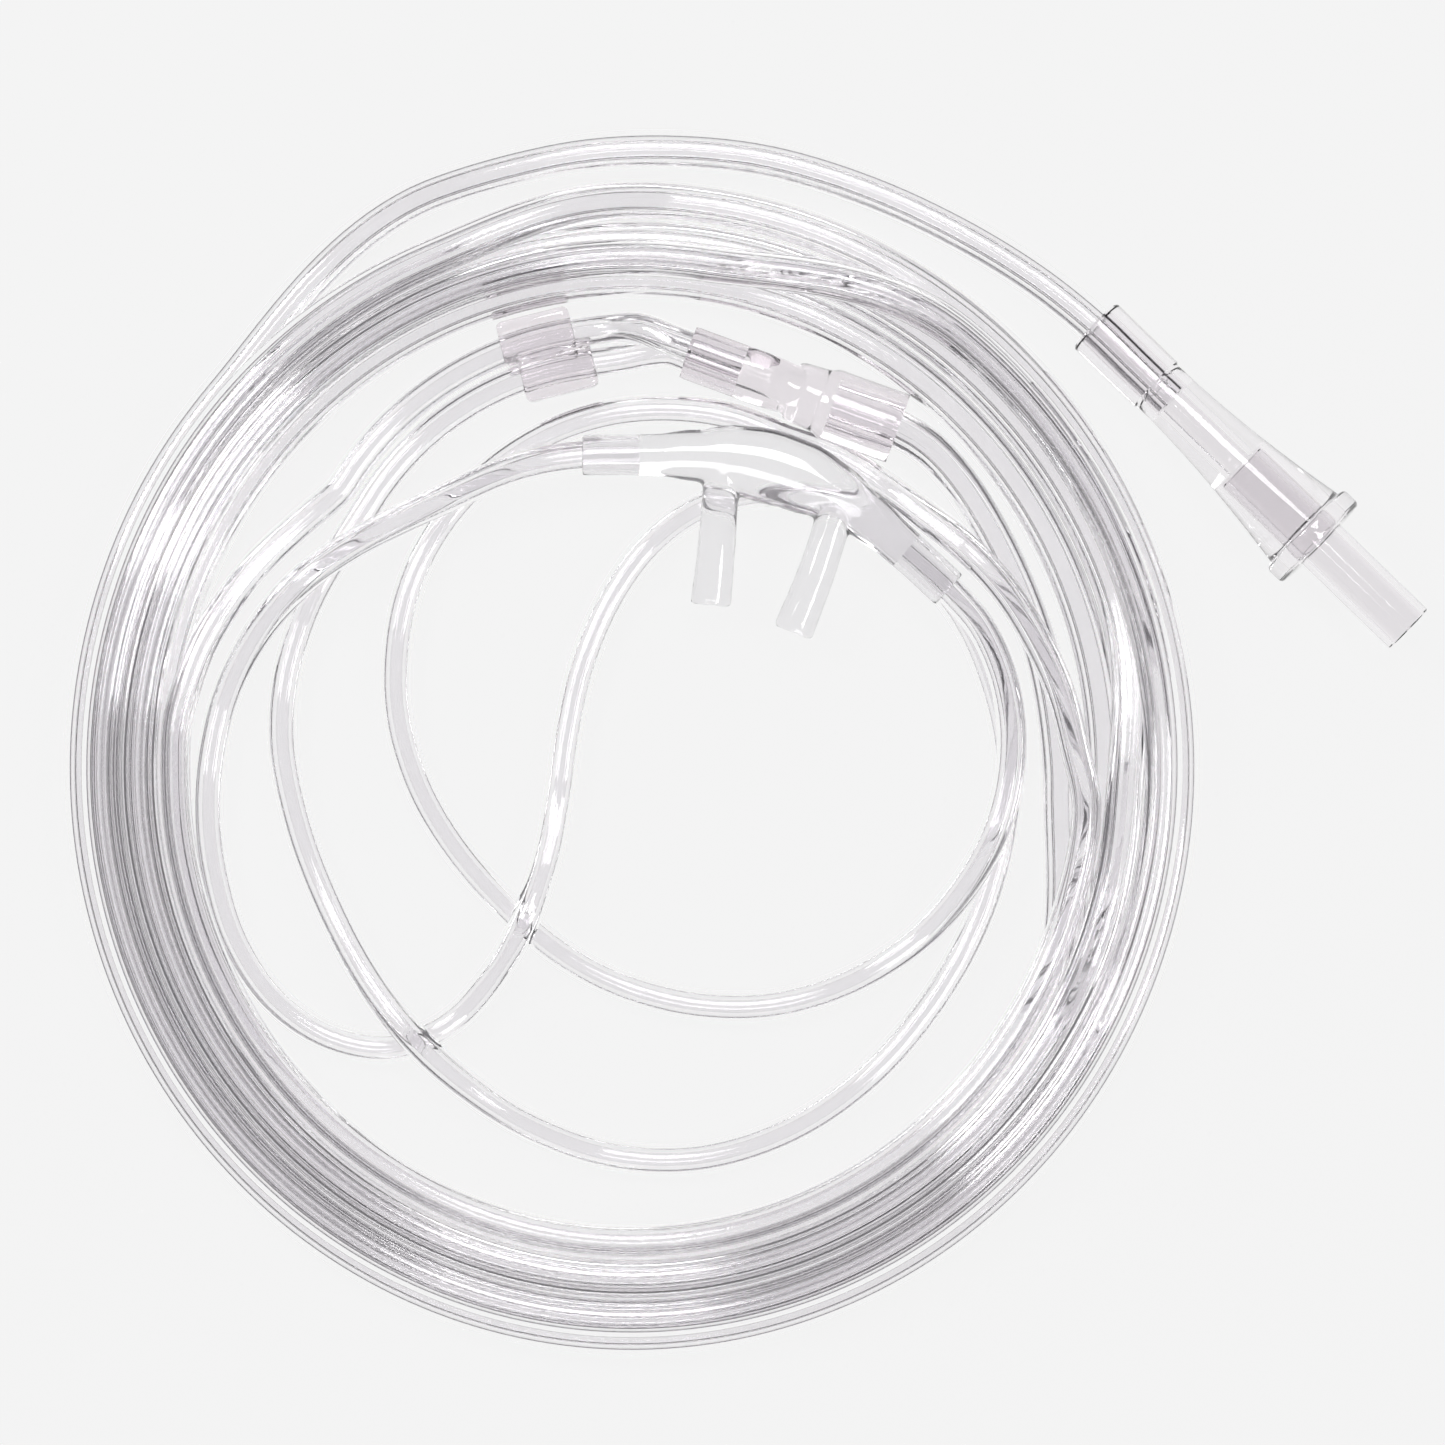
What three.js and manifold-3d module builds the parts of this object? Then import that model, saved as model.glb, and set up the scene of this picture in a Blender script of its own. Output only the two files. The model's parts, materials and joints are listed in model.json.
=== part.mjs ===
// Nasal oxygen cannula, coiled as packed and lying flat on a level surface.
// Millimetres, +Z up, +X to the right and +Y away when seen from above with the coil on the left.
// Places are first given from the middle of the supply coil. At the end everything is shifted so
// that the origin lies under the middle of the moulded fittings, on the surface they rest on.
import * as THREE from 'three';
import { mergeVertices } from 'three/addons/utils/BufferGeometryUtils.js';
import Module from 'manifold-3d';

const wasm = await Module();
wasm.setup();

// Clearances
const gap = 0.3;                     // between pieces that touch in the real object
const floorGap = 0.02;               // keeps a tube's facets just above the surface

// Supply tube and its coil
const supplyTubeOd = 4.9;
const coilHalfWidth = 72.8;          // outer half size of the coil along X
const coilHalfDepth = 75.4;          // outer half size of the coil along Y
const coilTurnsBelow = 3;            // turns side by side on the surface
const coilTurnsAbove = 2;            // turns that lie in the grooves of the lower ones

// Lariat tubes
const lariatTubeOd = 3.85;

// Slider: two collars side by side, one a little further along the tubes than the other
const sliderCollarLength = 9.5;
const sliderStep = 1.6;              // how far the outer collar is ahead of the inner one
const sliderWidth = 10.9;            // both collars together
const sliderHeight = 5.4;
const sliderCornerRadius = 0.6;
const slideArcCentre = new THREE.Vector2(-1.15, 14.1);
const slideArcRadius = 40.1;         // from that centre to the middle of the tube pair
const sliderRestAngle = 104;         // degrees, where the slider rests on the arc
const slideStraightEnd = 97;         // the tubes follow the arc from this angle
const slideFarEnd = 149;             // to this one

// Nosepiece
const noseSocketOd = 5.2;
const noseSocketDepth = 7.5;
const noseLumenOd = 2.6;
const noseHeight = 6.8;              // middle of the moulding above the surface
const saddleHalfLength = 11.5;
const saddleHalfWidth = 4.7;
const prongOd = 5.2;
const prongBoreOd = 3.7;

// Y connector, lying on its edge so that one leg is above the other
const legOd = 5.4;
const legPitch = 5.0;
const legLength = 11.0;
const legSocketDepth = 7.5;
const legBlendLength = 3.4;
const hubOd = 8.8;
const hubLength = 4.4;
const hubBoreOd = 2.4;
const supplySocketOd = 9.2;
const supplySocketLength = 9.8;
const supplySocketDepth = 7.5;
const connectorRoll = 75;            // degrees between the plane of the legs and the surface
const connectorTurn = -20.0;         // degrees, heading of its axis seen from above
const legMouth = new THREE.Vector2(7.18, 53.2);
const legBend = [[14.4, 0.62], [15.9, 0.45]];   // distance from the mouth, share of half the pitch
const hubShoulder = 1.6;
const channelRun = 1.5;              // how far the leg channels go on into the hub
const legLeadIn = 2.2;               // a tube is straight for this long before a leg's mouth

// End connector and its nipple, along their common axis from the collar's mouth
const collarOd = 7.9;
const collarLength = 11.0;
const collarBoreDepth = 14.0;
const funnelStartOd = 7.4;
const funnelEndOd = 12.2;
const rimStart = 37.4;
const rimThickness = 2.8;
const rimOd = 14.1;
const rimRound = 0.7;
const lumenOd = 3.4;
const nippleOd = 6.9;
const nippleWall = 0.9;
const nippleStart = 26.3;
const nippleEnd = 55.8;
const endConnectorTurn = -44.4;      // degrees, heading of its axis seen from above
const collarMouth = new THREE.Vector2(59.36, 56.67);

// Worked out from the sizes above
const supplyRadius = supplyTubeOd / 2;
const lariatRadius = lariatTubeOd / 2;
const supplyFloor = supplyRadius + floorGap;
const lariatBoreRadius = lariatRadius + gap;
const supplyBoreRadius = supplyRadius + gap;
const sliderTubeHeight = sliderHeight / 2;
const tubePairPitch = lariatTubeOd + gap;
const degrees = Math.PI / 180;

// Fineness of the curves
const curveDivisions = 1200;
const coilSegments = 64;
const coilArcStep = 30;              // degrees
const slideArcStep = 4;              // degrees
const shoulderSteps = 14;
const supplyTubeSides = 10;
const lariatTubeSides = 8;
const tubeStep = 1.6;                // in diameters
const mouldStep = 2.2;
const past = 1;                      // how far a cut runs past a mouth

// Points chosen by hand, from the middle of the coil
const leftLariatStart = [
  [1.0, 40.0, 6.8], [-2.6, 40.0, 6.8], [-6.3, 39.9, 6.8], [-11.8, 39.1, 6.8], [-16.9, 37.6, 6.7],
  [-23.3, 34.7, 6.7], [-29.7, 31.7, 6.8], [-36.2, 28.2, 7.0], [-42.6, 23.5, 6.7], [-47.9, 17.4, 4.0],
  [-51.8, 10.0, 2.3], [-53.8, 2.3, 1.95], [-54.4, -5.4, 1.95], [-53.6, -13.1, 1.95], [-50.9, -22.1, 1.95],
  [-45.8, -29.7, 1.95], [-38.7, -34.5, 1.95], [-30.8, -35.8, 1.95], [-23.7, -32.9, 1.95], [-18.2, -27.2, 3.4],
  [-13.7, -19.7, 6.4], [-10.8, -11.2, 3.7], [-9.5, -4.1, 1.95], [-8.2, 4.9, 1.95], [-6.3, 13.2, 1.95],
  [-2.8, 21.5, 1.95], [2.3, 28.6, 1.95], [8.7, 33.3, 1.95], [16.4, 35.4, 1.95], [24.1, 34.4, 1.95],
  [30.8, 31.2, 1.95], [36.9, 26.3, 1.95], [42.7, 19.0, 1.95], [46.5, 10.0, 1.95], [48.2, 1.0, 1.95],
  [47.4, -9.2, 1.95], [44.4, -19.5, 1.95], [38.8, -29.7, 1.95], [30.5, -39.4, 1.95], [20.3, -46.4, 1.95],
  [8.7, -50.0, 1.95], [-2.8, -49.6, 1.95], [-13.7, -45.6, 3.0], [-22.7, -39.4, 5.7], [-28.5, -33.8, 6.5],
  [-33.8, -26.9, 5.3], [-38.7, -17.9, 3.2], [-42.6, -8.0, 2.0], [-44.8, 2.3, 1.95], [-44.6, 10.0, 1.95],
  [-43.1, 16.4, 2.1], [-40.5, 22.8, 2.4],
];
const leftLariatEnd = [
  [-1.4, 52.5, 2.7], [2.2, 53.2, 2.7],
];
const rightLariatStart = [
  [35.1, 27.8, 6.8], [37.8, 25.4, 6.8], [40.5, 22.8, 6.8], [44.4, 18.3, 6.6], [47.2, 12.3, 6.3],
  [48.5, 5.5, 6.2], [48.2, -1.5, 6.2], [46.2, -8.6, 6.2], [42.3, -15.4, 5.0], [36.3, -22.1, 3.0],
  [27.9, -27.4, 1.95], [18.3, -30.3, 1.95], [8.1, -30.3, 1.95], [-1.5, -27.8, 1.95], [-9.2, -23.7, 1.95],
  [-16.3, -17.6, 1.95], [-22.7, -10.3, 1.95], [-27.4, -2.2, 1.95], [-30.0, 6.8, 1.95], [-30.1, 15.8, 1.95],
  [-28.2, 24.1, 1.95], [-24.0, 31.8, 1.95], [-17.9, 38.2, 1.95], [-10.5, 42.9, 1.95], [-2.8, 45.4, 1.95],
  [4.9, 46.0, 1.95], [12.6, 45.0, 1.95], [19.6, 42.4, 1.95], [26.2, 40.0, 1.95], [32.1, 36.4, 2.7],
  [37.6, 32.2, 4.9], [43.1, 27.7, 7.2], [47.8, 22.6, 7.6], [51.7, 16.4, 7.6], [54.6, 10.0, 7.3],
  [56.5, 3.0, 6.9],
];
const rightLariatOff = [
  [-57.1, 9.5, 6.6], [-55.0, 15.4, 6.3], [-51.8, 20.9, 5.6], [-47.6, 26.3, 4.4], [-42.5, 31.2, 3.2],
];
const rightLariatEnd = [
  [-2.6, 56.4, 3.4], [0.9, 56.3, 5.8],
];
const leadPoints = [
  [38.0, 41.0, 4.5], [41.6, 37.2, 3.4], [45.0, 32.2, 2.7], [48.2, 26.2, 2.5], [50.8, 20.0, 2.47],
  [53.0, 13.0, 2.47], [54.3, 5.9, 2.47], [54.9, -1.0, 2.47],
];
const tailPoints = [
  [-24.8, 74.1, 2.47], [-16.4, 76.7, 2.47], [-5.4, 78.9, 2.47], [6.2, 79.3, 2.47], [17.7, 78.0, 2.47],
  [30.5, 74.1, 2.6], [42.1, 68.7, 2.9], [52.0, 62.6, 3.3],
];
const noseAxis = [
  [-6.3, 40.0], [1.0, 40.0], [8.7, 39.9], [16.4, 38.8], [23.5, 36.4], [29.2, 32.8], [35.1, 27.8], [40.5, 22.8],
];
const saddleCentre = [18.6, 38.2];
const saddleTurn = -16;
const prongAxes = [
  [[11.7, 39.2, 6.8], [11.2, 33.1, 6.8], [10.8, 27.9, 6.6], [10.1, 20.9, 6.0]],
  [[26.9, 35.0, 6.8], [25.4, 30.5, 6.8], [23.5, 24.7, 6.6], [20.6, 17.4, 6.0]],
];

// A closed polygon on a circle, for tubes and bores
function roundSection(radius, sides) {
  const corners = [];
  for (let i = 0; i < sides; i += 1) {
    const angle = (i + 0.5) * 2 * Math.PI / sides;
    corners.push(new THREE.Vector2(radius * Math.cos(angle), radius * Math.sin(angle)));
  }
  return new THREE.Shape(corners);
}

// A rod of round section along hand-chosen or worked-out points
function rodAlong(points, radius, sides, stepLength) {
  const path = new THREE.CatmullRomCurve3(points, false, 'centripetal');
  path.arcLengthDivisions = curveDivisions;
  const steps = Math.max(1, Math.round(path.getLength() / stepLength));
  return new THREE.ExtrudeGeometry(roundSection(radius, sides), {
    steps, extrudePath: path, bevelEnabled: false,
  });
}

function vectors(list) {
  return list.map((p) => new THREE.Vector3(p[0], p[1], p[2]));
}

// A turned piece with its axis along X, from pairs of distance along the axis and radius
function turnedAlongX(profile, segments) {
  const points = profile.map(([along, radius]) => new THREE.Vector2(radius, along));
  const geometry = new THREE.LatheGeometry(points, segments);
  geometry.rotateZ(-Math.PI / 2);
  return geometry;
}

// A plain rod along X
function rodX(from, to, radius, segments) {
  return turnedAlongX([[from, 0], [from, radius], [to, radius], [to, 0]], segments);
}

// Signed volume, used to turn a shell right way out
function signedVolume(geometry) {
  const position = geometry.getAttribute('position');
  const index = geometry.getIndex();
  const a = new THREE.Vector3();
  const b = new THREE.Vector3();
  const c = new THREE.Vector3();
  let total = 0;
  for (let i = 0; i < index.count; i += 3) {
    a.fromBufferAttribute(position, index.getX(i));
    b.fromBufferAttribute(position, index.getX(i + 1));
    c.fromBufferAttribute(position, index.getX(i + 2));
    total += a.dot(b.clone().cross(c)) / 6;
  }
  return total;
}

// Shared vertices, faces out
function weld(geometry) {
  geometry.deleteAttribute('normal');
  geometry.deleteAttribute('uv');
  const welded = mergeVertices(geometry, 1e-4);
  const source = Array.from(welded.getIndex().array);
  const kept = [];
  for (let i = 0; i < source.length; i += 3) {
    const [a, b, c] = source.slice(i, i + 3);
    if (a !== b && b !== c && a !== c) kept.push(a, b, c);
  }
  welded.setIndex(kept);
  if (signedVolume(welded) < 0) {
    for (let i = 0; i < kept.length; i += 3) [kept[i + 1], kept[i + 2]] = [kept[i + 2], kept[i + 1]];
    welded.setIndex(kept);
  }
  return welded;
}

function toManifold(geometry) {
  const welded = weld(geometry);
  return new wasm.Manifold(new wasm.Mesh({
    numProp: 3,
    vertProperties: new Float32Array(welded.getAttribute('position').array),
    triVerts: new Uint32Array(welded.getIndex().array),
  }));
}

function toGeometry(manifold) {
  const mesh = manifold.getMesh();
  const geometry = new THREE.BufferGeometry();
  geometry.setAttribute('position', new THREE.BufferAttribute(new Float32Array(mesh.vertProperties), 3));
  geometry.setIndex(new THREE.BufferAttribute(new Uint32Array(mesh.triVerts), 1));
  geometry.computeVertexNormals();
  return geometry;
}

// Joins all the first shapes and cuts all the others from them
function joinAndCut(joined, cuts) {
  let solid = toManifold(joined[0]);
  for (const shape of joined.slice(1)) solid = solid.add(toManifold(shape));
  for (const shape of cuts) solid = solid.subtract(toManifold(shape));
  return toGeometry(solid);
}

function tubeGeometry(points, radius, sides) {
  const geometry = weld(rodAlong(vectors(points), radius, sides, tubeStep * 2 * radius));
  geometry.computeVertexNormals();
  return geometry;
}

// Points on the arc that the slider follows, for a tube that is offset from its middle
function slideArc(offset, fromAngle, toAngle, height) {
  const points = [];
  const count = Math.round(Math.abs(toAngle - fromAngle) / slideArcStep);
  const radius = slideArcRadius + offset;
  for (let i = 0; i <= count; i += 1) {
    const angle = (fromAngle + (toAngle - fromAngle) * i / count) * degrees;
    points.push([
      slideArcCentre.x + radius * Math.cos(angle), slideArcCentre.y + radius * Math.sin(angle), height,
    ]);
  }
  return points;
}

// Where the right tube lies on the coil: on the innermost lower turn, against the upper one
function shoulderPlace() {
  const pitch = supplyTubeOd;
  const reach = supplyRadius + lariatRadius + gap;
  const lift = Math.sqrt(reach * reach - pitch * pitch / 4);
  const inward = coilTurnsBelow * pitch - supplyRadius - pitch / 4;
  return {
    inset: inward + lift * Math.sqrt(3) / 2,
    height: supplyRadius + pitch * Math.sqrt(3) / 4 + lift / 2,
  };
}

function shoulderPoints(fromAngle, toAngle) {
  const place = shoulderPlace();
  const radius = coilHalfWidth - place.inset;
  const ovality = coilHalfDepth / coilHalfWidth;
  const points = [];
  for (let i = 0; i <= shoulderSteps; i += 1) {
    const angle = (fromAngle + (toAngle - fromAngle) * i / shoulderSteps) * degrees;
    points.push([radius * Math.cos(angle), ovality * radius * Math.sin(angle), place.height]);
  }
  return points;
}

// The coil as one turned ring whose outline shows its turns
function coilGeometry() {
  const turns = [];
  const rise = supplyTubeOd * Math.sqrt(3) / 2;
  for (let i = 0; i < coilTurnsBelow; i += 1) {
    turns.push({ inset: supplyRadius + i * supplyTubeOd, height: supplyFloor });
  }
  const upper = [];
  for (let i = 0; i < coilTurnsAbove; i += 1) {
    upper.push({ inset: supplyTubeOd + i * supplyTubeOd, height: supplyFloor + rise });
  }
  const profile = [];
  const addArc = (turn, from, to) => {
    const count = Math.max(3, Math.round(Math.abs(to - from) / coilArcStep));
    for (let i = 0; i <= count; i += 1) {
      const angle = (from + (to - from) * i / count) * degrees;
      profile.push(new THREE.Vector2(
        coilHalfWidth - turn.inset + supplyRadius * Math.cos(angle),
        turn.height + supplyRadius * Math.sin(angle),
      ));
    }
  };
  addArc(turns[0], -150, 75);
  addArc(upper[0], -15, 150);
  addArc(upper[1], 30, 195);
  addArc(turns[2], 105, 330);
  addArc(turns[1], 210, 330);
  profile.push(profile[0].clone());
  const geometry = new THREE.LatheGeometry(profile, coilSegments);
  geometry.rotateX(Math.PI / 2);
  geometry.scale(1, coilHalfDepth / coilHalfWidth, 1);
  const welded = weld(geometry);
  welded.computeVertexNormals();
  return welded;
}

// One collar of the slider, from its nearer and farther side seen from the arc's centre
function sliderCollar(near, far, ahead) {
  const halfLength = sliderCollarLength / 2;
  const round = sliderCornerRadius;
  const plan = new THREE.Shape();
  plan.moveTo(far, ahead - halfLength + round);
  plan.absarc(far - round, ahead + halfLength - round, round, 0, Math.PI / 2, false);
  plan.absarc(near + round, ahead + halfLength - round, round, Math.PI / 2, Math.PI, false);
  plan.absarc(near + round, ahead - halfLength + round, round, Math.PI, 1.5 * Math.PI, false);
  plan.absarc(far - round, ahead - halfLength + round, round, 1.5 * Math.PI, 2 * Math.PI, false);
  const collar = new THREE.ExtrudeGeometry(plan, { depth: sliderHeight, bevelEnabled: false, curveSegments: 3 });
  collar.translate(slideArcRadius, 0, 0);
  collar.rotateZ(sliderRestAngle * degrees);
  collar.translate(slideArcCentre.x, slideArcCentre.y, 0);
  return collar;
}

// Slider: its two collars and two joined bores that follow the arc
function sliderGeometry() {
  const halfWidth = sliderWidth / 2;
  const inner = sliderCollar(-halfWidth, sliderCornerRadius, -sliderStep / 2);
  const outer = sliderCollar(-sliderCornerRadius, halfWidth, sliderStep / 2);
  const reach = (sliderCollarLength + sliderStep) / 2 / slideArcRadius / degrees + slideArcStep;
  const bores = [-1, 1].map((side) => rodAlong(
    vectors(slideArc(side * tubePairPitch / 2, sliderRestAngle - reach, sliderRestAngle + reach, sliderTubeHeight)),
    lariatBoreRadius, 16, mouldStep,
  ));
  return joinAndCut([inner, outer], bores);
}

// Nosepiece: one moulding whose sockets, lumen and prongs are open to each other
function nosepieceGeometry() {
  const axis = vectors(noseAxis.map(([x, y]) => [x, y, noseHeight]));
  const body = rodAlong(axis, noseSocketOd / 2, 14, mouldStep);
  const saddle = new THREE.SphereGeometry(1, 24, 14);
  saddle.scale(saddleHalfLength, saddleHalfWidth, noseSocketOd / 2);
  saddle.rotateZ(saddleTurn * degrees);
  saddle.translate(saddleCentre[0], saddleCentre[1], noseHeight);
  const prongs = prongAxes.map((points) => rodAlong(vectors(points), prongOd / 2, 16, mouldStep));
  const prongBores = prongAxes.map((points) => {
    const line = vectors(points);
    const last = line[line.length - 1];
    const before = line[line.length - 2];
    line.push(last.clone().addScaledVector(last.clone().sub(before).normalize(), past));
    return rodAlong(line, prongBoreOd / 2, 14, mouldStep);
  });
  const socket = (end, next) => {
    const inward = next.clone().sub(end).normalize();
    return rodAlong([
      end.clone().addScaledVector(inward, -past), end.clone().addScaledVector(inward, noseSocketDepth),
    ], lariatBoreRadius, 16, noseSocketDepth);
  };
  const lumen = rodAlong(axis, noseLumenOd / 2, 12, mouldStep);
  const sockets = [socket(axis[0], axis[1]), socket(axis[axis.length - 1], axis[axis.length - 2])];
  return joinAndCut([body, saddle, ...prongs], [lumen, ...sockets, ...prongBores]);
}

// Y connector in its own frame: X from the leg mouths to the supply mouth, legs one above the other
function yConnectorGeometry() {
  const hubStart = legLength + legBlendLength;
  const hubEnd = hubStart + hubLength;
  const end = hubEnd + supplySocketLength;
  const joined = [
    turnedAlongX([
      [hubStart - hubShoulder, 0], [hubStart - hubShoulder, hubOd / 2 - hubShoulder],
      [hubStart, hubOd / 2], [hubEnd, hubOd / 2],
      [hubEnd, supplySocketOd / 2], [end, supplySocketOd / 2], [end, 0],
    ], 28),
  ];
  const cuts = [
    rodX(end - supplySocketDepth, end + past, supplyBoreRadius, 20),
    rodX(hubStart, end, hubBoreOd / 2, 12),
  ];
  for (const side of [-1, 1]) {
    const offset = side * legPitch / 2;
    const bend = [
      [0, 0, offset], [legLength / 2, 0, offset], [legLength, 0, offset],
      ...legBend.map(([along, share]) => [along, 0, offset * share]),
    ];
    joined.push(rodAlong(vectors(bend), legOd / 2, 16, mouldStep));
    const bore = rodX(-past, legSocketDepth, lariatBoreRadius, 16);
    bore.translate(0, 0, offset);
    cuts.push(bore);
    const channel = [
      [legSocketDepth - gap, 0, offset], [legLength, 0, offset], [hubStart, 0, offset / 2], [hubStart + channelRun, 0, 0],
    ];
    cuts.push(rodAlong(vectors(channel), hubBoreOd / 2, 12, mouldStep));
  }
  return joinAndCut(joined, cuts);
}

// End connector in its own frame: X from the collar's mouth to the rim
function funnelRadius(along) {
  const share = (along - collarLength) / (rimStart - collarLength);
  return funnelStartOd / 2 + (funnelEndOd - funnelStartOd) / 2 * share ** 1.8;
}

function endConnectorGeometry() {
  const outside = [[0, supplyBoreRadius], [0, collarOd / 2], [collarLength, collarOd / 2]];
  const flareSteps = 8;
  for (let i = 0; i <= flareSteps; i += 1) {
    const along = collarLength + (rimStart - collarLength) * i / flareSteps;
    outside.push([along, funnelRadius(along)]);
  }
  const rimEnd = rimStart + rimThickness;
  outside.push(
    [rimStart, rimOd / 2 - rimRound], [rimStart + rimRound, rimOd / 2],
    [rimEnd - rimRound, rimOd / 2], [rimEnd, rimOd / 2 - rimRound],
  );
  const nippleBore = nippleOd / 2 + gap;
  const inside = [
    [rimEnd, nippleBore], [nippleStart - gap, nippleBore], [nippleStart - gap, lumenOd / 2],
    [collarBoreDepth, lumenOd / 2], [collarBoreDepth, supplyBoreRadius],
  ];
  const profile = [...outside, ...inside, outside[0]];
  return weld(turnedAlongX(profile, 32));
}

function nippleGeometry() {
  const inner = nippleOd / 2 - nippleWall;
  const profile = [
    [nippleStart, inner], [nippleStart, nippleOd / 2], [nippleEnd, nippleOd / 2], [nippleEnd, inner],
    [nippleStart, inner],
  ];
  return weld(turnedAlongX(profile, 28));
}

function clearVinyl(colour) {
  return new THREE.MeshStandardMaterial({
    color: colour, roughness: 0.12, metalness: 0, transparent: true, opacity: 0.55,
  });
}

const lariatVinyl = clearVinyl(0xece9ee);
const supplyVinyl = clearVinyl(0xe6e1ea);
const fittingVinyl = clearVinyl(0xdedbe0);
const softVinyl = clearVinyl(0xe9eaec);

function named(name, geometry, material) {
  if (!geometry.getAttribute('normal')) geometry.computeVertexNormals();
  const mesh = new THREE.Mesh(geometry, material);
  mesh.name = name;
  return mesh;
}

// The Y connector's place: its axis above the surface, its heading and its roll
const rollLift = legPitch / 2 * Math.sin(connectorRoll * degrees);
const connectorHeight = legOd / 2 + floorGap + rollLift;
const connectorPlace = new THREE.Group();
connectorPlace.position.set(legMouth.x, legMouth.y, connectorHeight);
connectorPlace.rotation.z = connectorTurn * degrees;
const connectorRollGroup = new THREE.Group();
connectorRollGroup.rotation.x = -(90 - connectorRoll) * degrees;
connectorPlace.add(connectorRollGroup);
const yConnector = named('y_connector', yConnectorGeometry(), fittingVinyl);
connectorRollGroup.add(yConnector);
connectorPlace.updateMatrixWorld(true);

// A tube end that is pushed into a leg socket, from just outside its mouth inwards
function legInsert(side) {
  const depths = [-legLeadIn, 0, legSocketDepth / 2, legSocketDepth - gap];
  return depths.map((depth) => {
    const point = yConnector.localToWorld(new THREE.Vector3(depth, 0, side * legPitch / 2));
    return [point.x, point.y, point.z];
  });
}

// The supply tube's end in its socket, from its inner end to the mouth
function supplyInsert() {
  const mouth = legLength + legBlendLength + hubLength + supplySocketLength;
  return [supplySocketDepth - gap, supplySocketDepth / 2, 0].map((depth) => {
    const point = yConnector.localToWorld(new THREE.Vector3(mouth - depth, 0, 0));
    return [point.x, point.y, point.z];
  });
}

// The end connector lies on its rim and on the edge of its collar
const lieTilt = Math.asin((rimOd - collarOd) / 2 / (rimStart + rimRound));
const collarHeight = collarOd / 2 * Math.cos(lieTilt) + floorGap;
const endPlace = new THREE.Group();
endPlace.position.set(collarMouth.x, collarMouth.y, collarHeight);
endPlace.rotation.order = 'ZYX';
endPlace.rotation.z = endConnectorTurn * degrees;
endPlace.rotation.y = -lieTilt;
endPlace.add(named('end_connector', endConnectorGeometry(), fittingVinyl));
endPlace.add(named('outlet_nipple', nippleGeometry(), fittingVinyl));
endPlace.updateMatrixWorld(true);

function collarInsert() {
  return [0, collarBoreDepth / 2, collarBoreDepth - gap].map((depth) => {
    const point = endPlace.localToWorld(new THREE.Vector3(depth, 0, 0));
    return [point.x, point.y, point.z];
  });
}

// Routes of the tubes
const halfPitch = tubePairPitch / 2;
const leftRoute = [
  ...leftLariatStart,
  ...slideArc(-halfPitch, slideFarEnd, slideStraightEnd, sliderTubeHeight),
  ...leftLariatEnd, ...legInsert(-1),
];
const rightRoute = [
  ...rightLariatStart,
  ...shoulderPoints(-5, -185), ...rightLariatOff,
  ...slideArc(halfPitch, slideFarEnd, slideStraightEnd, sliderTubeHeight),
  ...rightLariatEnd, ...legInsert(1),
];
const leadRoute = [...supplyInsert(), ...leadPoints];
const tailRoute = [...tailPoints, ...collarInsert()];

const cannula = new THREE.Group();
const fittings = [
  named('nosepiece', nosepieceGeometry(), softVinyl),
  named('slider', sliderGeometry(), fittingVinyl),
  connectorPlace,
  endPlace,
];
const tubes = [
  named('left_lariat_tube', tubeGeometry(leftRoute, lariatRadius, lariatTubeSides), lariatVinyl),
  named('right_lariat_tube', tubeGeometry(rightRoute, lariatRadius, lariatTubeSides), lariatVinyl),
  named('supply_tube_lead', tubeGeometry(leadRoute, supplyRadius, supplyTubeSides), supplyVinyl),
  named('supply_coil', coilGeometry(), supplyVinyl),
  named('supply_tube_tail', tubeGeometry(tailRoute, supplyRadius, supplyTubeSides), supplyVinyl),
];

// The origin goes under the middle of the moulded fittings
const extent = new THREE.Box3();
for (const fitting of fittings) {
  fitting.updateMatrixWorld(true);
  extent.expandByObject(fitting, true);
}
const middle = extent.getCenter(new THREE.Vector3());
cannula.add(...fittings, ...tubes);
cannula.position.set(-middle.x, -middle.y, -extent.min.z);
cannula.updateMatrixWorld(true);

export default cannula;
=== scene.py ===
"""Nasal oxygen cannula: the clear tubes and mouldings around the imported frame."""

import json
import math

import bpy
from mathutils import Matrix, Vector

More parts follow.
